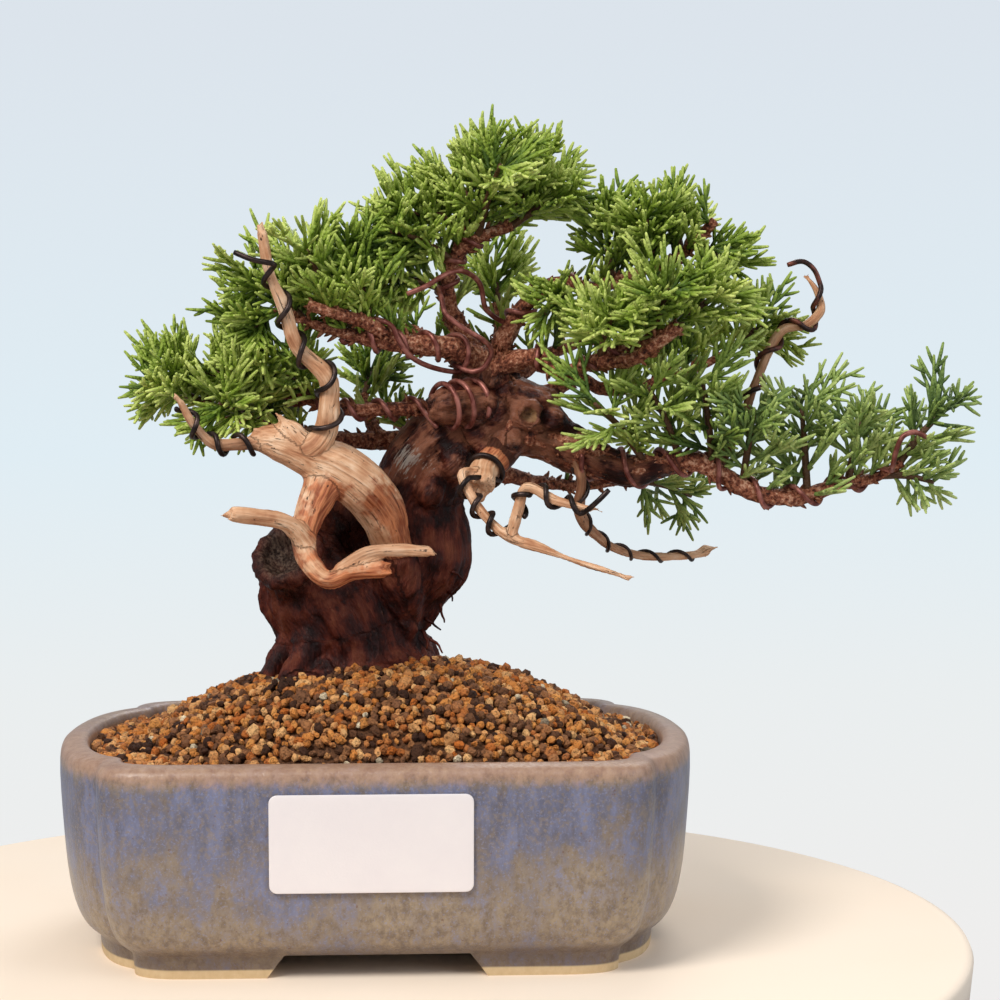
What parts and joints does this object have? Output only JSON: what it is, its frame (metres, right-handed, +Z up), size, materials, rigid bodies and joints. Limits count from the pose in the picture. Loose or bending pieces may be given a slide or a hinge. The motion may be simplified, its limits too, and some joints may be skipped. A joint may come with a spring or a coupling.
{
  "type": "bonsai tree",
  "caption": "Itoigawa juniper bonsai with stripped dead branches and training wires, in a lobed glazed pot with a mound of grit and a blank label.",
  "frame": {"origin": "on the floor, under the middle of the bounding box of pot and tree together", "axes": "+X along the pot's long side towards the long low branch, +Y from the labelled front to the back, +Z up"},
  "size_m": [0.2364, 0.1188, 0.2192],
  "materials": {
    "glaze": "gloss",
    "mesh": "matte",
    "grit": "rough",
    "label": "satin",
    "wood": "rough",
    "dark_wire": "satin",
    "copper_wire": "satin",
    "foliage": "satin"
  },
  "bodies": {
    "root": {"pot": "glaze", "drain_screen_left": "mesh", "drain_screen_right": "mesh", "soil": "grit", "label": "label", "trunk_and_branches": "wood", "wire_tall_jin": "dark_wire", "wire_left_jin": "dark_wire", "wire_front_jin": "dark_wire", "wire_front_fork": "dark_wire", "wire_hanging_jin": "copper_wire", "wire_right_jin": "dark_wire", "wire_upper_left": "copper_wire", "wire_left_middle": "copper_wire", "wire_apex": "copper_wire", "wire_upper_right": "copper_wire", "wire_right_middle": "copper_wire", "wire_right_main": "copper_wire", "foliage_far_left_tip": "foliage", "foliage_far_left_top": "foliage", "foliage_far_left_front": "foliage", "foliage_far_left_low": "foliage", "foliage_far_left_back": "foliage", "foliage_far_left_under": "foliage", "foliage_left_tip": "foliage", "foliage_left_fan": "foliage", "foliage_left_crest": "foliage", "foliage_left_inner": "foliage", "foliage_left_back": "foliage", "foliage_crown_left": "foliage", "foliage_crown_left_top": "foliage", "foliage_crown_left_front": "foliage", "foliage_crown_left_low": "foliage", "foliage_crown_middle": "foliage", "foliage_crown_front": "foliage", "foliage_crown_right_top": "foliage", "foliage_crown_right": "foliage", "foliage_crown_back": "foliage", "foliage_right_top_inner": "foliage", "foliage_right_top_middle": "foliage", "foliage_right_top_tip": "foliage", "foliage_right_top_crest": "foliage", "foliage_sprig_inner": "foliage", "foliage_right_middle_inner": "foliage", "foliage_right_middle_front": "foliage", "foliage_right_middle_tip": "foliage", "foliage_right_rear_tip": "foliage", "foliage_right_rear_back": "foliage", "foliage_right_low_inner": "foliage", "foliage_right_low_front": "foliage", "foliage_right_low_middle": "foliage", "foliage_right_low_outer": "foliage", "foliage_right_far": "foliage", "foliage_right_far_outer": "foliage", "foliage_right_tip_up": "foliage", "foliage_right_tip_low": "foliage", "foliage_back_left": "foliage", "foliage_back_centre": "foliage", "foliage_back_low": "foliage", "foliage_back_right": "foliage"}
  },
  "joints": []
}
